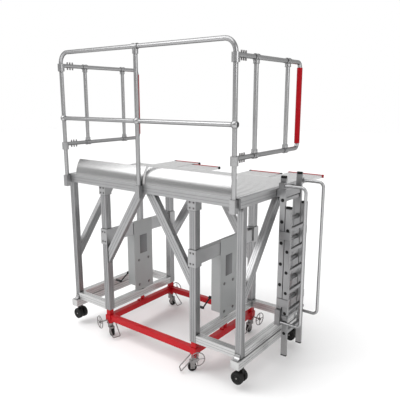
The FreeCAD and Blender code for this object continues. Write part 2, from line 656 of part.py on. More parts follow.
def holes(x, z, length):
    """Clearance for the tubes that meet in a fitting."""
    wide = "rail_r"
    return [rod("z", wide, length, x, 0, f"{z} - {length} / 2"),
            rod("x", wide, length, f"{x} - {length} / 2", 0, z)]


TEE_H = 60
fittings = []
# An end socket reaches in as far as the deck's side beam, wherever its post stands.
SOCKET_OUT = "(rail_span / 2 + 25)"
SOCKET_IN = "min(rail_span / 2 - 25; deck_w / 2 - frame_w - 25)"
for x in ("-rail_span / 2", "0", "rail_span / 2"):
    fittings.append(cut(ball(x, MID_Z), *holes(x, MID_Z, 90)))
    wide, middle = ("50", "0") if x == "0" else (f"{SOCKET_OUT} - {SOCKET_IN}",
                                                 f"{x} / (rail_span / 2) * ({SOCKET_OUT} + {SOCKET_IN}) / 2")
    socket = box(wide, "deck_front + rail_r + 6", 110, middle, "(deck_front - rail_r - 6) / 2", SOCKET_Z)
    fittings.append(cut(socket, rod("z", "rail_r", 110, x, 0, f"{SOCKET_Z} + 5")))
top_tee = fuse(rod("x", "rail_r + 6", TEE_H, f"-{TEE_H} / 2", 0, "deck_z + rail_top"),
               rod("z", "rail_r + 6", TEE_H, 0, 0, f"deck_z + rail_top - {TEE_H}"))
fittings.append(cut(top_tee, *holes(0, "(deck_z + rail_top)", 130)))
node("rail_fittings", *fittings)

# --- Toe boards: sheets that curve back towards the top -------------------------------------------
def toe_sheet():
    """The board seen end on: one arc, upright at its foot, that leans back to its top."""
    thick, lean = size("toe_t"), math.radians(40)
    turn = size("toe_h") / math.sin(lean)
    outer, inner = [[V(0, turn - (turn - off) * math.cos(a), (turn - off) * math.sin(a))
                     for a in (0, lean / 2, lean)] for off in (0, thick)]
    edges = [Part.Arc(*outer).toShape(), Part.LineSegment(outer[2], inner[2]).toShape(),
             Part.Arc(*inner[::-1]).toShape(), Part.LineSegment(inner[0], outer[0]).toShape()]
    return Part.Face(Part.Wire(edges))


sheet_face = toe_sheet()
runs = [(-half + 110, 20), (45, half - 20)]
boards = []
for low, high in runs:
    board = made(sheet_face.extrude(V(high - low, 0, 0)), "ToeBoard")
    boards.append(put(board, low, "deck_front", "deck_z"))
node("toe_boards", *boards)

# --- Diagonal braces ------------------------------------------------------------------------------
brace = grooved("brace_deep", "brace_w", "section_wall")
side_brace = grooved("brace_w", "brace_deep", "section_wall")
BRACE_Z = "(collar_z - 119)"
BRACE_TOP = 60
RUN = f"({IN_X} - inner_w / 2 - {BRACE_TOP})"
RISE = f"({FRAME_Z} - {BRACE_Z})"
braces = []
for side in SIDES:
    for y in ENDS:
        whole = sloped(brace, V(0, -side, 0), f"atan({RUN} / {RISE})", f"hypot({RUN}; {RISE}) + 200",
                       f"{side} * ({IN_X} - inner_w / 2)", y, BRACE_Z)
        whole.setExpression("Placement.Base.x", tied(
            f"{side} * ({IN_X} - inner_w / 2 + 80 * {RUN} / {RISE})"))
        whole.setExpression("Placement.Base.z", tied(f"{BRACE_Z} - 80"))
        room = box(f"{IN_X} - inner_w / 2", 200, f"{FRAME_Z} - 300",
                   f"{side} * ({IN_X} - inner_w / 2) / 2", y, 300)
        braces.append(common(whole, room))
SIDE_RUN = 545
SIDE_RISE = 740
SIDE_Z = f"({FRAME_Z} - {SIDE_RISE})"
for side in SIDES:
    whole = sloped(side_brace, V(-1, 0, 0), f"atan({SIDE_RUN} / {SIDE_RISE})", 1200, f"{side} * {OUT_X}",
                   f"{FRONT_Y} + outer_w / 2 - 80 * {SIDE_RUN} / {SIDE_RISE}", f"{SIDE_Z} - 80")
    room = box(200, "900", f"{FRAME_Z} - 300", f"{side} * {OUT_X}",
               f"{FRONT_Y} + outer_w / 2 + 450", 300)
    braces.append(common(whole, room))
node("diagonal_braces", *braces)

# --- Ladder: a fixed section on the deck's side and a section that slides on it -------------------
stile = grooved("stile_x", "stile_y", 2, grooves=0)
RUNG_W = "(ladder_w - stile_y)"
STILES = [f"(ladder_y + {side} * ladder_w / 2)" for side in SIDES]


def rungs(x, first, count):
    """Hollow rungs between the stiles, upwards from the first."""
    made_rungs = []
    for step in range(count):
        z = f"({first} + {step} * rung_pitch - rung_deep / 2)"
        tread = box("rung_deep", RUNG_W, "rung_deep", x, "ladder_y", z)
        made_rungs.append(cut(tread, box("rung_deep - 4", RUNG_W, "rung_deep - 4", x, "ladder_y",
                                         f"{z} + 2")))
    return made_rungs


TOP_RUNG = "(deck_z + upper_top - 186)"
UPPER_LOW = f"({TOP_RUNG} - 5 * rung_pitch - 40)"
FIXED_LEN = f"deck_z + upper_top - {UPPER_LOW}"
upper_stiles = [bar(stile, "z", FIXED_LEN, FIXED_X, y, UPPER_LOW) for y in STILES]
STEP_H = 60
top_step = box(40, RUNG_W, STEP_H, FIXED_X, "ladder_y", "deck_z - 70")
node("ladder_upper", *upper_stiles, *rungs(FIXED_X, f"{TOP_RUNG} - 5 * rung_pitch", 6), top_step)

# The hangers tie the fixed section to the side beam and to the post beside it; the guides
# keep the sliding section on it.
HANG_X = "(deck_w / 2)"
hang_len = "(ladder_off - stile_x / 2)"
hangers = [box(hang_len, "stile_y", 60, f"{HANG_X} + {hang_len} / 2", y, f"{FRAME_Z} + 8")
           for y in STILES]
FACE_X = f"({FIXED_X} + stile_x / 2)"
BRACKET_H = 142
STRAP_Z = f"({UPPER_LOW} - 70)"
STRAP_X = f"({SLIDING_X} + stile_x / 2 + 2.5)"
keepers = [box(4, "ladder_w + stile_y + 12.6", 20, STRAP_X, "ladder_y", STRAP_Z)]
for side, y in zip(SIDES, STILES):
    side_y = f"({y} + {side} * stile_y / 2)"
    for z in (f"{UPPER_LOW} + 30", f"{UPPER_LOW} + 640"):
        pad = box("stile_x", 0.6, 70, FIXED_X, f"{side_y} + {side} * 0.3", z)
        plate = box(f"stile_x + {LADDER_PITCH} - 6", 6, 70, f"{FIXED_X} + {LADDER_PITCH} / 2 + 3",
                    f"{side_y} + {side} * 3.6", z)
        keepers.append(fuse(pad, plate))
    foot = box("stile_x", "stile_y + 30", BRACKET_H, FIXED_X, f"{y} + {side} * 15",
               f"{UPPER_LOW} - {BRACKET_H}")
    arm = box(f"{STRAP_X} - {FACE_X} + 2", 6, 20, f"({STRAP_X} + {FACE_X} + 2) / 2",
              f"{side_y} + {side} * 3.3", STRAP_Z)
    keepers.append(fuse(foot, arm))
    keepers.append(box("stile_x", 30, 50, FIXED_X, f"{side_y} + {side} * 15",
                       "deck_z + grab_up - 25"))
node("ladder_hangers", *hangers, *keepers)

LOW_RUNG = "(lower_foot + 206)"
LOWER_LEN = "(206 + 5 * rung_pitch + 186)"
lower_stiles = [bar(stile, "z", LOWER_LEN, SLIDING_X, y, "lower_foot")
                for y in STILES]
node("ladder_lower", *lower_stiles, *rungs(SLIDING_X, LOW_RUNG, 6))

grab_out, grab_low = size(f"{FIXED_X} + grab_out"), size("grab_low")
grab_start = size(FACE_X)
grab_high = size("deck_z + grab_up")
rails = []
for side in SIDES:
    y = size("ladder_y") + side * (size("ladder_w / 2 + stile_y / 2 + grab_r") + 0.5)
    rails.append(made(bent_tube([(grab_start, y, grab_high), (grab_out, y, grab_high),
                                 (grab_out, y, grab_low), (grab_start, y, grab_low)],
                                45, size("grab_r"), size("grab_r") - 2), "GrabRail"))
node("grab_rails", *rails)

# --- Gates: each swings about its guard rail post ---------------------------------------------------
reach = size("gate_reach")
high_z, low_z = size("deck_z + gate_top"), size("deck_z + gate_low")
COLLAR_R = "(rail_r + 12)"
COLLAR_UP = 17
COLLAR_H = 70
start_y = size("rail_r") + 6
SLEEVE_TOP = "(gate_bend + 4)"
for name, side in zip(("left", "right"), SIDES):
    x = side * half
    frame = made(bent_tube([(x, start_y, high_z), (x, reach, high_z), (x, reach, low_z),
                            (x, start_y, low_z)], size("gate_bend"), rail_r, rail_in), "GateTube")
    uprights = []
    for place in ("gate_first", "gate_second"):
        uprights.append(rod("z", "rail_r - 1", "gate_top - gate_low", x, place, "deck_z + gate_low"))
    knuckles = []
    for z in ("gate_top", "gate_low"):
        knuckles.append(rod("z", COLLAR_R, COLLAR_H, x, 0,
                            f"deck_z + {z} + {COLLAR_UP} - {COLLAR_H}"))
    bores = [rod("z", "rail_r + fit", "gate_top - gate_low + 200", x, 0, "deck_z + gate_low - 100")]
    node(f"gate_{name}", cut(fuse(frame, *uprights, *knuckles), *bores))
    sleeve_len = f"gate_top - gate_low - 2 * {SLEEVE_TOP}"
    node(f"gate_sleeve_{name}", tube("z", sleeve_len, x, "gate_reach",
                                     f"deck_z + gate_low + {SLEEVE_TOP}", "sleeve_r",
                                     "(sleeve_r - rail_r - leg_play)"))

# --- Checks, the origin, and one file for each sub-part -----------------------------------------------
doc.recompute()
whole = FreeCAD.BoundBox()
for obj in NODES:
    whole.add(obj.Shape.optimalBoundingBox(False, False))
dims.set(f"B{origin_rows}", str(round(whole.Center.x, 3)))
dims.set(f"B{origin_rows + 1}", str(round(whole.Center.y, 3)))
doc.recompute()
for obj in doc.Objects:
    if {"Invalid", "Error"} & set(obj.State):
        raise RuntimeError(f"{obj.Name} {obj.Label} did not rebuild")
os.makedirs("parts", exist_ok=True)
for obj in NODES:
    if obj.Shape.isNull() or not obj.Shape.isValid() or not obj.Shape.Solids:
        raise RuntimeError(f"{obj.Label} has no sound solid")
    obj.Shape.exportStep(f"parts/{obj.Label}.step")
print("nodes", len(NODES), "lowest", round(whole.ZMin, 3))
print("box", [round(v, 1) for v in (whole.XLength, whole.YLength, whole.ZLength)])
print("origin", dims.get("origin_x"), dims.get("origin_y"))
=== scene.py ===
# %% [markdown]
# # A work platform bench
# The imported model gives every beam, tube and wheel its true size and place. This lesson adds
# what an engineering model leaves plain: rounded tyres, bolts, end caps and clamps, then a
# finish for each material, and last the light and the camera.

# %% Load the frame
import json
import math
import bmesh
import bpy
import numpy as np
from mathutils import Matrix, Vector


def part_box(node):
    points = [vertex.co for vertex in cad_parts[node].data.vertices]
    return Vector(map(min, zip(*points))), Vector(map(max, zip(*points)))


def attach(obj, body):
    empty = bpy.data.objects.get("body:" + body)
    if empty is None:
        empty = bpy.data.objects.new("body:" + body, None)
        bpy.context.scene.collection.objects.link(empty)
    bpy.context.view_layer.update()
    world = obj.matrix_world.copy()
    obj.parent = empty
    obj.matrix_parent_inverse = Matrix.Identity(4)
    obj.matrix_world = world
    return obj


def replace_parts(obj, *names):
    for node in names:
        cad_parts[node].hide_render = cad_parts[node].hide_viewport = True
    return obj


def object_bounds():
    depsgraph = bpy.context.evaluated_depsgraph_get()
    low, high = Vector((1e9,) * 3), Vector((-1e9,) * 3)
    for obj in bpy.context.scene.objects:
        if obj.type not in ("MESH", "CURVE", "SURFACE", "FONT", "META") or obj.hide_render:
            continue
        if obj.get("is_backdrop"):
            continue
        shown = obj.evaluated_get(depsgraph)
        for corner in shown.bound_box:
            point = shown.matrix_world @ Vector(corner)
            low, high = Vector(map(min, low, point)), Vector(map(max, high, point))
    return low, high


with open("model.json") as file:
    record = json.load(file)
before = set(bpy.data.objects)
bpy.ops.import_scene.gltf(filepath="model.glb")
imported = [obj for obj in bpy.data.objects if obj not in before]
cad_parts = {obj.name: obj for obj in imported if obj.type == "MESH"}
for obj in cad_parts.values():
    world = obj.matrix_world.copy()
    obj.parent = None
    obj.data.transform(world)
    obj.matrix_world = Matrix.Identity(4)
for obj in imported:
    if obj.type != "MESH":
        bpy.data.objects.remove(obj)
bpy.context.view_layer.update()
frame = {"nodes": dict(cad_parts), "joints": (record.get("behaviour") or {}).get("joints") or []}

# %% [markdown]
# ## Surfaces from grids
# A tyre or a bolt can be modelled by hand, or worked out as points on a grid. A grid is used
# here, because one formula then serves every size, and numpy fills it with no loop over points.

# %% Grid helpers
def frame_of(axis):
    """Two unit vectors square to the axis and to each other, and the axis made unit length."""
    axis = np.array(axis, float) / np.linalg.norm(axis)
    side = np.cross(axis, [0.0, 0.0, 1.0] if abs(axis[2]) < 0.9 else [1.0, 0.0, 0.0])
    side /= np.linalg.norm(side)
    return side, np.cross(axis, side), axis


def lathe(profile, centre, axis, steps=32):
    """Point = centre + t * axis + r * (cos a * side + sin a * up), for each (r, t) of the
    profile and each angle a round the axis."""
    side, up, along = frame_of(axis)
    r, t = np.array(profile, float).T
    a = np.arange(steps) * 2 * np.pi / steps
    ring = np.cos(a)[:, None] * side + np.sin(a)[:, None] * up
    return np.asarray(centre) + t[:, None, None] * along + r[:, None, None] * ring[None]


def slab(low, high, bevel=0.002, arc=3):
    """A box with rounded edges: a rounded rectangle at each height, drawn in at both ends and
    closed at a point in the middle of each end."""
    low, high = np.array(low, float), np.array(high, float)
    half, middle = (high - low) / 2, (high + low) / 2
    a = (np.arange(4)[:, None] * 90 + np.linspace(0, 90, arc)[None]).ravel() * np.pi / 180
    signs = np.repeat([[1, 1], [-1, 1], [-1, -1], [1, -1]], arc, axis=0)
    turn = np.linspace(0, np.pi / 2, arc)
    inset = np.concatenate([bevel * (1 - np.sin(turn)), bevel * (1 - np.cos(turn))])
    rise = np.concatenate([-half[2] + bevel * (1 - np.cos(turn)),
                           half[2] - bevel * (1 - np.sin(turn))])
    around = np.stack([np.cos(a), np.sin(a)], 1) * bevel
    flat = signs * (half[:2] - bevel) + around
    rows = flat[None] - (around / bevel)[None] * inset[:, None, None]
    grid = np.dstack([rows, np.repeat(rise[:, None], len(a), 1)])
    caps = np.zeros((2, len(a), 3))
    caps[0, :, 2], caps[1, :, 2] = -half[2], half[2]
    return middle + np.concatenate([caps[:1], grid, caps[1:]])


def piece(name, grids, body, material, sharp=30):
    """One mesh from several grids that close round their second direction. Poles are merged,
    faces turned outwards, and edges sharper than the angle are kept crisp."""
    points, faces, start = [], [], 0
    for grid in grids:
        rows, cols = grid.shape[:2]
        i, j = np.meshgrid(np.arange(rows - 1), np.arange(cols), indexing="ij")
        here, right = i * cols + j, i * cols + (j + 1) % cols
        faces.append(np.stack([here, right, right + cols, here + cols], -1).reshape(-1, 4) + start)
        points.append(grid.reshape(-1, 3))
        start += rows * cols
    mesh = bpy.data.meshes.new(name)
    mesh.from_pydata(np.concatenate(points).tolist(), [], np.concatenate(faces).tolist())
    work = bmesh.new()
    work.from_mesh(mesh)
    bmesh.ops.remove_doubles(work, verts=work.verts, dist=1e-6)
    bmesh.ops.recalc_face_normals(work, faces=work.faces)
    work.to_mesh(mesh)
    work.free()
    mesh.shade_smooth()
    mesh.set_sharp_from_angle(angle=math.radians(sharp))
    obj = bpy.data.objects.new(name, mesh)
    bpy.context.scene.collection.objects.link(obj)
    obj.data.materials.append(material)
    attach(obj, body)
    return obj


def span(node):
    """A node's lowest and highest corners as arrays."""
    return tuple(np.array(corner, float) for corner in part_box(node))


# %% [markdown]
# ## Shared effects
# Grain, rubbed patches and dust turn up on several metals. Each is a node group that gives out
# a value, so every material can place it with its own strength. Drawing each effect again in
# every material would also work, but a change would then have to be made ten times.

# %% Effect groups
def group(name, inputs, outputs):
    """An empty node group with its sockets, and its entry and exit nodes."""
    tree = bpy.data.node_groups.new(name, "ShaderNodeTree")
    for label, kind, value in inputs:
        socket = tree.interface.new_socket(label, in_out="INPUT", socket_type=kind)
        if value is not None:
            socket.default_value = value
    for label in outputs:
        tree.interface.new_socket(label, in_out="OUTPUT", socket_type="NodeSocketFloat")
    return tree, tree.nodes.new("NodeGroupInput"), tree.nodes.new("NodeGroupOutput")


def node(tree, kind, links=(), **values):
    """A node whose inputs are linked to sockets or set to values, by name or number."""
    made = tree.nodes.new(kind)
    for key, value in values.items():
        setattr(made, key, value)
    for socket, source in dict(links).items():
        if isinstance(source, bpy.types.NodeSocket):
            tree.links.new(source, made.inputs[socket])
        else:
            made.inputs[socket].default_value = source
    return made


FLOAT, VECTOR = "NodeSocketFloat", "NodeSocketVector"
lines, entry, leave = group("drawn lines", [("Place", VECTOR, None), ("Stretch", VECTOR, None),
                                            ("Scale", FLOAT, 300.0)], ["Value"])
drawn = node(lines, "ShaderNodeVectorMath",
             {0: entry.outputs["Place"], 1: entry.outputs["Stretch"]}, operation="MULTIPLY")
noise = node(lines, "ShaderNodeTexNoise",
             {"Vector": drawn.outputs[0], "Scale": entry.outputs["Scale"], "Detail": 3.0})
lines.links.new(noise.outputs["Fac"], leave.inputs["Value"])

rubbed, entry, leave = group("rubbed patches", [("Place", VECTOR, None), ("Scale", FLOAT, 5.0),
                                                ("Amount", FLOAT, 0.3)], ["Mask"])
noise = node(rubbed, "ShaderNodeTexNoise", {"Vector": entry.outputs["Place"],
                                            "Scale": entry.outputs["Scale"], "Detail": 7.0})
mask = node(rubbed, "ShaderNodeMapRange", {"Value": noise.outputs["Fac"], "From Min": 0.45,
                                           "From Max": 0.7})
rubbed.links.new(node(rubbed, "ShaderNodeMath", {0: mask.outputs[0], 1: entry.outputs["Amount"]},
                      operation="MULTIPLY").outputs[0], leave.inputs["Mask"])

dust, entry, leave = group("settled dust", [("Place", VECTOR, None), ("Reach", FLOAT, 0.4)],
                           ["Mask"])
height = node(dust, "ShaderNodeSeparateXYZ", {0: entry.outputs["Place"]})
fade = node(dust, "ShaderNodeMapRange",
            {"Value": height.outputs["Z"], "From Min": 0.0, "From Max": entry.outputs["Reach"],
             "To Min": 1.0, "To Max": 0.0})
noise = node(dust, "ShaderNodeTexNoise",
             {"Vector": entry.outputs["Place"], "Scale": 30.0, "Detail": 5.0})
dust.links.new(node(dust, "ShaderNodeMath", {0: fade.outputs[0], 1: noise.outputs["Fac"]},
                    operation="MULTIPLY").outputs[0], leave.inputs["Mask"])
print("effect groups", len(bpy.data.node_groups))

# %% [markdown]
# ## Finishes
# Extruded aluminium shows faint lines along its length, powder coat a slight orange peel, and
# rubber a dull, dusty skin. One function builds them all from the shared effects; what is the
# same all over a finish, such as its coat, is set on the shader's own socket.

# %% Material builder
def finish(name, colour, second, rough, metallic=0.0, stretch=(1, 1, 1), scale=300.0, bump=0.05,
           wear=0.3, dirt=0.15, coat=0.0, spread=0.12, edge=0.3, painted_groove_shade=0.5, gleam=0.5):
    """A finish, with painted shade multiplied into its base colour. Faces seen at a grazing angle
    are painted darker by `edge`, in place of the dark room that metal mirrors, and narrow grooves
    are painted darker, as shade where little light gets in."""
    material = bpy.data.materials.new(name)
    material.use_nodes = True
    tree = material.node_tree
    shader = tree.nodes["Principled BSDF"]
    place = node(tree, "ShaderNodeTexCoord").outputs["Object"]
    used = {}
    for label, kind, extra in (("lines", lines, {"Stretch": stretch, "Scale": scale}),
                               ("rubbed", rubbed, {"Amount": wear}), ("dust", dust, {})):
        used[label] = node(tree, "ShaderNodeGroup", node_tree=kind)
        tree.links.new(place, used[label].inputs["Place"])
        for socket, value in extra.items():
            used[label].inputs[socket].default_value = value
    base = node(tree, "ShaderNodeMix", {6: (*colour, 1), 7: (*second, 1),
                                        0: used["rubbed"].outputs[0]}, data_type="RGBA")
    shade = node(tree, "ShaderNodeMapRange", {"Value": used["dust"].outputs[0], "To Max": dirt * 2})
    dirty = node(tree, "ShaderNodeMix", {6: base.outputs[2], 7: (0.42, 0.39, 0.35, 1),
                                         0: shade.outputs[0]}, data_type="RGBA")
    # Painted shade: faces seen at a grazing angle get a darker base colour, in place of the dark
    # room that metal would mirror.
    facing = node(tree, "ShaderNodeLayerWeight", {"Blend": 0.5})
    rim = node(tree, "ShaderNodeMapRange", {"Value": facing.outputs["Facing"], "From Min": 0.1,
                                            "From Max": 0.9, "To Min": 1.0, "To Max": 1.0 - edge})
    # Painted shade: ambient occlusion darkens the base colour in narrow grooves and joints, where
    # little light gets in.
    open_sky = node(tree, "ShaderNodeAmbientOcclusion", {"Distance": 0.012}, samples=8)
    groove = node(tree, "ShaderNodeMapRange", {"Value": open_sky.outputs["AO"], "From Min": 0.35,
                                               "From Max": 0.95, "To Min": 1.0 - painted_groove_shade})
    shadow = node(tree, "ShaderNodeMath", {0: rim.outputs[0], 1: groove.outputs[0]},
                  operation="MULTIPLY")
    shaded = node(tree, "ShaderNodeMix", {6: dirty.outputs[2], 7: shadow.outputs[0], 0: 1.0},
                  data_type="RGBA", blend_type="MULTIPLY")
    tree.links.new(shaded.outputs[2], shader.inputs["Base Color"])
    gloss = node(tree, "ShaderNodeMapRange", {"Value": used["lines"].outputs[0], "From Min": 0.3,
                                              "From Max": 0.7, "To Min": rough - spread / 2,
                                              "To Max": rough + spread / 2})
    tree.links.new(gloss.outputs[0], shader.inputs["Roughness"])
    relief = node(tree, "ShaderNodeBump", {"Height": used["lines"].outputs[0], "Strength": bump,
                                           "Distance": 0.001})
    tree.links.new(relief.outputs[0], shader.inputs["Normal"])
    shader.inputs["Metallic"].default_value = metallic
    shader.inputs["Coat Weight"].default_value = coat
    shader.inputs["Specular IOR Level"].default_value = gleam
    shader.inputs["Coat Roughness"].default_value = 0.15
    return material


SILVER, PALE = (0.36, 0.36, 0.365), (0.45, 0.45, 0.455)
upright = finish("drawn aluminium upright", SILVER, PALE, 0.34, 0.85, (1, 1, 0.02), 500,
                 edge=0.45, painted_groove_shade=0.8)
satin = finish("satin aluminium", (0.42, 0.42, 0.425), (0.50, 0.50, 0.505), 0.36, 0.8, scale=700,
               edge=0.4, painted_groove_shade=0.8)
bright = finish("bright beam aluminium", (0.62, 0.62, 0.62), (0.70, 0.70, 0.70), 0.34, 0.7,
                scale=700, edge=0.25, painted_groove_shade=0.8)
tubing = finish("polished tube", (0.46, 0.46, 0.465), (0.54, 0.54, 0.54), 0.28, 0.9, scale=500,
                bump=0.0, spread=0.04, edge=0.94, painted_groove_shade=0.4)
planking = finish("ribbed deck aluminium", (0.66, 0.66, 0.66), (0.74, 0.74, 0.74), 0.36, 0.7,
                  (0.02, 1, 1), 500, 0.04, edge=0.1, painted_groove_shade=0.95)
sheeting = finish("rolled sheet", (0.42, 0.42, 0.42), (0.47, 0.47, 0.47), 0.24, 0.85,
                  (0.02, 1, 1), 350, bump=0.01, spread=0.04, edge=0.2)
covers = finish("grey painted cover", (0.42, 0.43, 0.43), (0.47, 0.48, 0.48), 0.42, 0.1, scale=900)
red = finish("red powder coat", (0.55, 0.003, 0.010), (0.62, 0.006, 0.014), 0.34, scale=900,
             bump=0.02, dirt=0.03, gleam=0.2, painted_groove_shade=0.3)
grip = finish("red grip", (0.38, 0.003, 0.009), (0.46, 0.006, 0.012), 0.5, scale=600, dirt=0.0,
              gleam=0.12)
zinc = finish("zinc plate", (0.28, 0.27, 0.27), (0.38, 0.37, 0.36), 0.3, 0.9, scale=400, edge=0.6)
blacked = finish("blacked steel", (0.012, 0.012, 0.013), (0.03, 0.03, 0.03), 0.4, 0.5, scale=500)
rubber = finish("black rubber", (0.006, 0.006, 0.006), (0.014, 0.014, 0.014), 0.6, scale=500,
                bump=0.1, dirt=0.01, gleam=0.25)
moulded = finish("black moulding", (0.006, 0.006, 0.006), (0.012, 0.012, 0.012), 0.5, scale=800,
                 bump=0.1, dirt=0.01, gleam=0.25)
print("finishes", len(bpy.data.materials))

# %% [markdown]
# ## Which finish goes where
# A node keeps its shape and only takes a better finish. Its name says what it is, so the
# finishes are handed out by the start of the name.

# %% Hand out the finishes
WEARS = {"chassis_beams": red, "chassis_legs": red, "jack_screws": blacked, "crank": blacked,
         "chassis_castor_fork": zinc, "chassis_castor_wheel": rubber, "pedal": zinc,
         "hand_wheel": zinc, "outer_posts": upright, "inner_posts": upright,
         "tower_bottom_rails": bright, "sill_beams": bright, "post_brackets": satin,
         "lifting_yokes": satin, "jack_housings": covers, "diagonal_braces": satin,
         "corner_castor_fork": moulded, "corner_castor_wheels": rubber, "deck_frame": satin,
         "deck_planks": planking, "pull_out_board": planking, "buffer_bar": grip,
         "toe_boards": sheeting, "guard_rail": tubing, "rail_fittings": tubing,
         "gate_sleeve": grip, "gate": tubing, "ladder": upright, "grab_rails": tubing}
for name, obj in frame["nodes"].items():
    start = max((key for key in WEARS if name.startswith(key)), key=len)
    obj.data.materials.clear()
    obj.data.materials.append(WEARS[start])
print("dressed", len(frame["nodes"]), "nodes")

# %% [markdown]
# ## Wheels
# A real tyre has a rounded shoulder and a dished face, where a plain cylinder has sharp rims.
# Turning half a section round the axle gives both, so each wheel is a lathe surface whose
# profile runs from the bore, over the tread and back.

# %% Twin wheels and chassis rollers
def tyre_profile(radius, bore, half, shoulder=0.007, dish=0.006):
    """Half a wheel's section as (radius, place along the axle): bore, dished face, hub rim,
    shoulder arc and tread, then the same mirrored."""
    a = np.linspace(0, np.pi / 2, 6)
    arc = np.stack([radius - shoulder + shoulder * np.sin(a),
                    half - shoulder + shoulder * np.cos(a)], 1)
    rim = radius * 0.6
    face = [(bore, half - 0.002), (bore + 0.01, half - 0.002), (bore + 0.014, half - dish),
            (rim, half - dish), (rim + 0.004, half - 0.001)]
    side = np.array(face + arc.tolist())
    loop = np.concatenate([side, (side * [1, -1])[::-1]])
    return np.concatenate([loop, loop[:1]])


CORNERS = ("front_left", "front_right", "rear_left", "rear_right")
HALF_TYRE = 0.019
HALF_ROLLER, ROLLER_RADIUS = 0.014, 0.04
AXLE_CAP = [(0, 0.003), (0.006, 0.0025), (0.0075, 0), (0.0075, -0.004), (0, -0.004)]
joints = {joint["name"]: joint for joint in frame["joints"]}
for corner in CORNERS:
    name = f"corner_castor_wheels_{corner}"
    low, high = span(name)
    middle, radius = (low + high) / 2, (high[2] - low[2]) / 2
    offsets = (-(high[1] - low[1]) / 2 + HALF_TYRE, (high[1] - low[1]) / 2 - HALF_TYRE)
    grids = [lathe(tyre_profile(radius, 0.0085, HALF_TYRE), middle + [0, off, 0], (0, 1, 0), 48)
             for off in offsets]
    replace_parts(piece(f"twin_tyres_{corner}", grids, name, rubber), name)
    domes = [lathe(AXLE_CAP, [middle[0], edge, middle[2]], (0, turn, 0), 20)
             for edge, turn in ((low[1], -1), (high[1], 1))]
    piece(f"axle_caps_{corner}", domes, name, zinc)
    name = f"chassis_castor_wheel_{corner}"
    joint = joints[f"chassis_castor_roll_{corner}"]
    grid = lathe(tyre_profile(ROLLER_RADIUS, 0.0062, HALF_ROLLER, 0.005, 0.003),
                 joint["pos_m"], joint["axis"], 40)
    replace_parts(piece(f"roller_{corner}", [grid], name, rubber), name)
print("wheels", 3 * len(CORNERS))

# %% [markdown]
# ## Bolts
# A hexagon head is a lathe with only six steps, and a small chamfer at its top edge catches the
# light. All the bolts of one set are one mesh, which keeps the scene light.

# %% Bolt heads
WASHER_THICK = 0.0014


def bolts(name, places, axis, body, size=0.008, tall=0.006, material=None):
    """A washer and a six-sided head at each place, pointing along the axis."""
    head = [(0, 0), (size, 0), (size, tall * 0.8), (size * 0.85, tall), (0, tall)]
    washer = [(0, 0), (size * 1.45, 0), (size * 1.45, WASHER_THICK), (0, WASHER_THICK)]
    along = np.array(axis, float)
    grids = []
    for place in places:
        grids.append(lathe(washer, place, axis, 20))
        grids.append(lathe(head, np.array(place) + along * WASHER_THICK, axis, 6))
    return piece(name, grids, body, material or zinc, 20)


low, high = span("jack_housings")
base, middle_y = low[2], (low[1] + high[1]) / 2
JACK_SPACING = 1.1
faces_x = [high[0] - JACK_SPACING, high[0]]
spots = [(x, middle_y + y, base + z)
         for x in faces_x for y in (-0.072, 0.072) for z in (0.055, 0.33)]
bolts("jack_cover_bolts", spots, (1, 0, 0), "platform", 0.010)
plates = [slab((x, middle_y - 0.052, base + 0.40),
               (x + 0.002, middle_y + 0.052, base + 0.60), 0.0009) for x in faces_x]
piece("blank_rating_plates", plates, "platform",
      finish("blank plate", (0.17, 0.17, 0.175), (0.20, 0.20, 0.205), 0.4, 0.4))

HALF_POST = 0.033
low = span("lifting_yokes")[0]
inner_x = (span("inner_posts")[0][0] + HALF_POST, span("inner_posts")[1][0] - HALF_POST)
spots = [(x + 0.016 * s, low[1], low[2] + z)
         for x in inner_x for s in (-1, 1) for z in (0.03, 0.125)]
bolts("yoke_bolts_front", spots, (0, -1, 0), "platform", 0.006)
head_top = span("post_brackets")[1][2]
spots = [(x + 0.02 * s, low[1], head_top - z)
         for x in inner_x for s in (-1, 1) for z in (0.02, 0.068)]
bolts("head_bolts_front", spots, (0, -1, 0), "platform", 0.006)
print("yokes and heads bolted")

# %% [markdown]
# ## Ladder caps and rung plugs
# Each stile ends in a black plastic cap, and each rung shows a black plug at its end. Rounded
# slabs suit the caps and chamfered discs the plugs, because a moulded part never has a knife edge.

# %% Caps, feet and plugs
STILE_THICK, RUNG_PITCH = 0.025, 0.188
PROUD_X, PROUD_Y = 0.0015, 0.0003


def stile_caps(node_name, body, foot):
    low, high = span(node_name)
    grids = []
    for y0 in (low[1], high[1] - STILE_THICK):
        near, far = y0 - PROUD_Y, y0 + STILE_THICK + PROUD_Y
        grids.append(slab((low[0] - PROUD_X, near, high[2]),
                          (high[0] + PROUD_X, far, high[2] + 0.022), 0.007, 4))
        if foot:
            grids.append(slab((low[0] - PROUD_X, near, low[2] - 0.012),
                              (high[0] + PROUD_X, far, low[2]), 0.003))
    return piece(f"{node_name}_caps", grids, body, moulded)


def rung_plugs(node_name, body, first, proud, count=6):
    """Round plugs at both ends of each rung, upwards from the first, this proud of the stile."""
    low, high = span(node_name)
    middle = (low[0] + high[0]) / 2
    disc = [(0, -0.002), (0.015, -0.002), (0.015, proud * 0.6), (0.0145, proud), (0, proud)]
    spots = [(middle, y, first + RUNG_PITCH * k, s) for k in range(count)
             for y, s in ((low[1], -1), (high[1], 1))]
    grids = [lathe(disc, (x, y, z), (0, s, 0), 20) for x, y, z, s in spots]
    return piece(f"{node_name}_plugs", grids, body, moulded)


deck_top = span("deck_planks")[1][2]
stile_caps("ladder_upper", "platform", False)
stile_caps("ladder_lower", "ladder_lower", True)
rung_plugs("ladder_upper", "platform", deck_top - 0.094 - 0.94, 0.003)
# The sliding ladder runs between close plates, so its plugs are almost flush.
rung_plugs("ladder_lower", "ladder_lower", span("ladder_lower")[0][2] + 0.206, 0.0003)

# %% [markdown]
# ## Gate clamps
# Where an upright meets a gate tube, a cast tee grips both, and two cross bolts lock the tube
# near its hinge. A collar with raised rims, turned round the tube, reads as a casting at once.

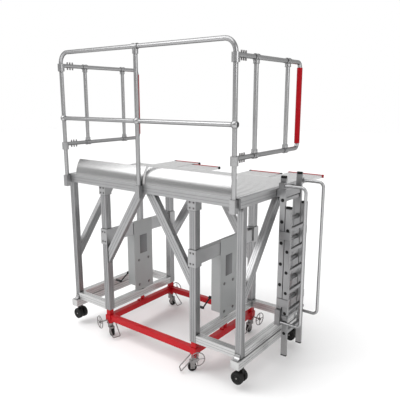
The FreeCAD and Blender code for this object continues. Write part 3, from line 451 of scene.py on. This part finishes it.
# %% Tees and cross bolts
COLLAR = [(0.0195, -0.028), (0.0245, -0.028), (0.0265, -0.024), (0.0265, -0.017), (0.0245, -0.013),
          (0.0245, 0.013), (0.0265, 0.017), (0.0265, 0.024), (0.0245, 0.028), (0.0195, 0.028),
          (0.0195, -0.028)]
KNOB = [(0, 0), (0.007, 0), (0.007, 0.018), (0.005, 0.020), (0, 0.020)]
TUBE_SPACING = 0.748
UPRIGHTS_Y, CROSS_BOLTS_Y = (0.286, 0.800), (0.075, 0.105, 0.135)
for side in ("left", "right"):
    hinge = np.array(joints[f"gate_hinge_{side}"]["pos_m"])
    heights = (hinge[2], hinge[2] + TUBE_SPACING)
    tees, pins = [], []
    for z in heights:
        inward = 1 if z < hinge[2] + 0.3 else -1
        for y in UPRIGHTS_Y:
            centre = (hinge[0], hinge[1] + y, z)
            tees.append(lathe(COLLAR, centre, (0, 1, 0), 32))
            stub = np.array(COLLAR) * [1, 0.5] + [0, 0.034]
            tees.append(lathe(stub, centre, (0, 0, inward), 32))
        for y in CROSS_BOLTS_Y:
            for turn in (-1, 1):
                foot = (hinge[0], hinge[1] + y, z + turn * 0.017)
                pins.append(lathe(KNOB, foot, (0, 0, turn), 16))
    piece(f"gate_tees_{side}", tees, f"gate_{side}", tubing)
    piece(f"gate_cross_bolts_{side}", pins, f"gate_{side}", zinc)
print("gates dressed")

# %% [markdown]
# ## Buffer bars
# The bar across the end of each pull-out board is a soft red bar with a block at each end, dark
# on four of the boards and red on the fifth.
# The CAD bar is a plain block, so this softer bar stands for it.

# %% Red bars and their ends
BAR_END = 0.022
for word in ("one", "two", "three", "four", "five"):
    low, high = span(f"buffer_bar_{word}")
    bar = slab(low + [BAR_END, 0, 0.001], high - [BAR_END, 0, 0.001], 0.006, 5)
    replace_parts(piece(f"soft_bar_{word}", [bar], f"board_{word}", grip), f"buffer_bar_{word}")
    ends = [slab(low, [low[0] + BAR_END, high[1], high[2]], 0.003),
            slab([high[0] - BAR_END, low[1], low[2]], high, 0.003)]
    piece(f"bar_ends_{word}", ends, f"board_{word}", grip if word == "five" else moulded)

# %% [markdown]
# ## Sill end plates and brace plates
# A flat plate covers each end of a sill. Another laps each side brace where it meets the deck's
# beam, with one bolt through it.

# %% Plates
HALF_SILL, PLATE_THICK = 0.04, 0.003
low, high = span("sill_beams")
plates = []
for x in (low[0] + HALF_SILL, high[0] - HALF_SILL):
    for y in (low[1] - PLATE_THICK, high[1]):
        plates.append(slab((x - HALF_SILL, y, low[2]),
                           (x + HALF_SILL, y + PLATE_THICK, high[2]), 0.001))
piece("sill_end_plates", plates, "platform", bright)
frame_low, frame_high = span("deck_frame")
laps = [slab((x - 0.002, frame_low[1] + 0.60, frame_low[2] - 0.03),
             (x + 0.002, frame_low[1] + 0.69, frame_low[2] + 0.05), 0.001)
        for x in (frame_low[0] - 0.0025, frame_high[0] + 0.0025)]
piece("brace_lap_plates", laps, "platform", satin)
bolt_y, bolt_z = frame_low[1] + 0.645, frame_low[2] + 0.03
for side, x, turn in (("right", frame_high[0] + 0.0045, 1), ("left", frame_low[0] - 0.0045, -1)):
    bolts(f"brace_bolts_{side}", [(x, bolt_y, bolt_z)], (turn, 0, 0), "platform", 0.009)
print("plates", len(plates) + len(laps))

# %% [markdown]
# ## Floor, light and camera
# A product of bright metal needs large soft lights, because metal shows what surrounds it. Two
# broad panels, a soft sun overhead and a graded sky give it long, even highlights.

# %% Studio
floor_mesh = bpy.data.meshes.new("floor")
floor_mesh.from_pydata([(-30, -30, 0), (30, -30, 0), (30, 30, 0), (-30, 30, 0)], [], [(0, 1, 2, 3)])
floor = bpy.data.objects.new("floor", floor_mesh)
bpy.context.scene.collection.objects.link(floor)
paper = bpy.data.materials.new("pale floor")
paper.use_nodes = True
paper.node_tree.nodes["Principled BSDF"].inputs["Base Color"].default_value = (0.93, 0.93, 0.93, 1)
paper.node_tree.nodes["Principled BSDF"].inputs["Roughness"].default_value = 0.9
floor_mesh.materials.append(paper)
floor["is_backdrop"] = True

world = bpy.data.worlds.new("sky")
bpy.context.scene.world = world
world.use_nodes = True
sky = world.node_tree
backdrop = sky.nodes["Background"]
backdrop.inputs["Color"].default_value = (1, 1, 1, 1)
# To light and reflections the sky is white behind the bench and dim behind the camera, so bright
# metal has something dark to mirror. The camera itself sees plain white all round.
aim = node(sky, "ShaderNodeVectorMath", {0: node(sky, "ShaderNodeTexCoord").outputs["Generated"],
                                         1: (-0.607, 0.794, -0.1)}, operation="DOT_PRODUCT")
glow = node(sky, "ShaderNodeMapRange", {"Value": aim.outputs["Value"], "From Min": -0.35,
                                        "From Max": 0.45, "To Min": 0.34, "To Max": 1.0})
seen = node(sky, "ShaderNodeLightPath").outputs["Is Camera Ray"]
level = node(sky, "ShaderNodeMix", {0: seen, 2: glow.outputs[0], 3: 1.0}, data_type="FLOAT")
sky.links.new(level.outputs[0], backdrop.inputs["Strength"])


def panel(name, place, target, size, power):
    """A square light that faces the target."""
    light = bpy.data.lights.new(name, "AREA")
    light.shape, light.size, light.energy = "SQUARE", size, power
    obj = bpy.data.objects.new(name, light)
    obj.location = place
    aim = np.array(target, float) - np.array(place, float)
    obj.rotation_euler = (math.atan2(math.hypot(aim[0], aim[1]), -aim[2]), 0,
                          math.atan2(-aim[0], aim[1]))
    bpy.context.scene.collection.objects.link(obj)


panel("key", (-4.0, -5.0, 5.5), (0, 0, 1.2), 3.5, 120)
panel("fill", (5.5, -1.5, 4.0), (0, 0, 1.2), 3.0, 70)
day = bpy.data.lights.new("overhead", "SUN")
day.energy, day.angle = 1.9, math.radians(70)
overhead = bpy.data.objects.new("overhead", day)
overhead.rotation_euler = (math.radians(18), math.radians(-12), 0)
bpy.context.scene.collection.objects.link(overhead)
camera = bpy.data.objects.new("camera", bpy.data.cameras.new("camera"))
camera.location = (2.831, -3.8104, 2.385)
camera.rotation_euler = (math.radians(90 - 11.9), 0, math.radians(37.4))
camera.data.lens, camera.data.sensor_width = 43.29, 36
bpy.context.scene.collection.objects.link(camera)
bpy.context.scene.camera = camera
bpy.context.scene.view_settings.view_transform = "Standard"

# %% Print the sizes and finish
low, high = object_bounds()
print("visual box", np.round(np.array(high) - np.array(low), 3))
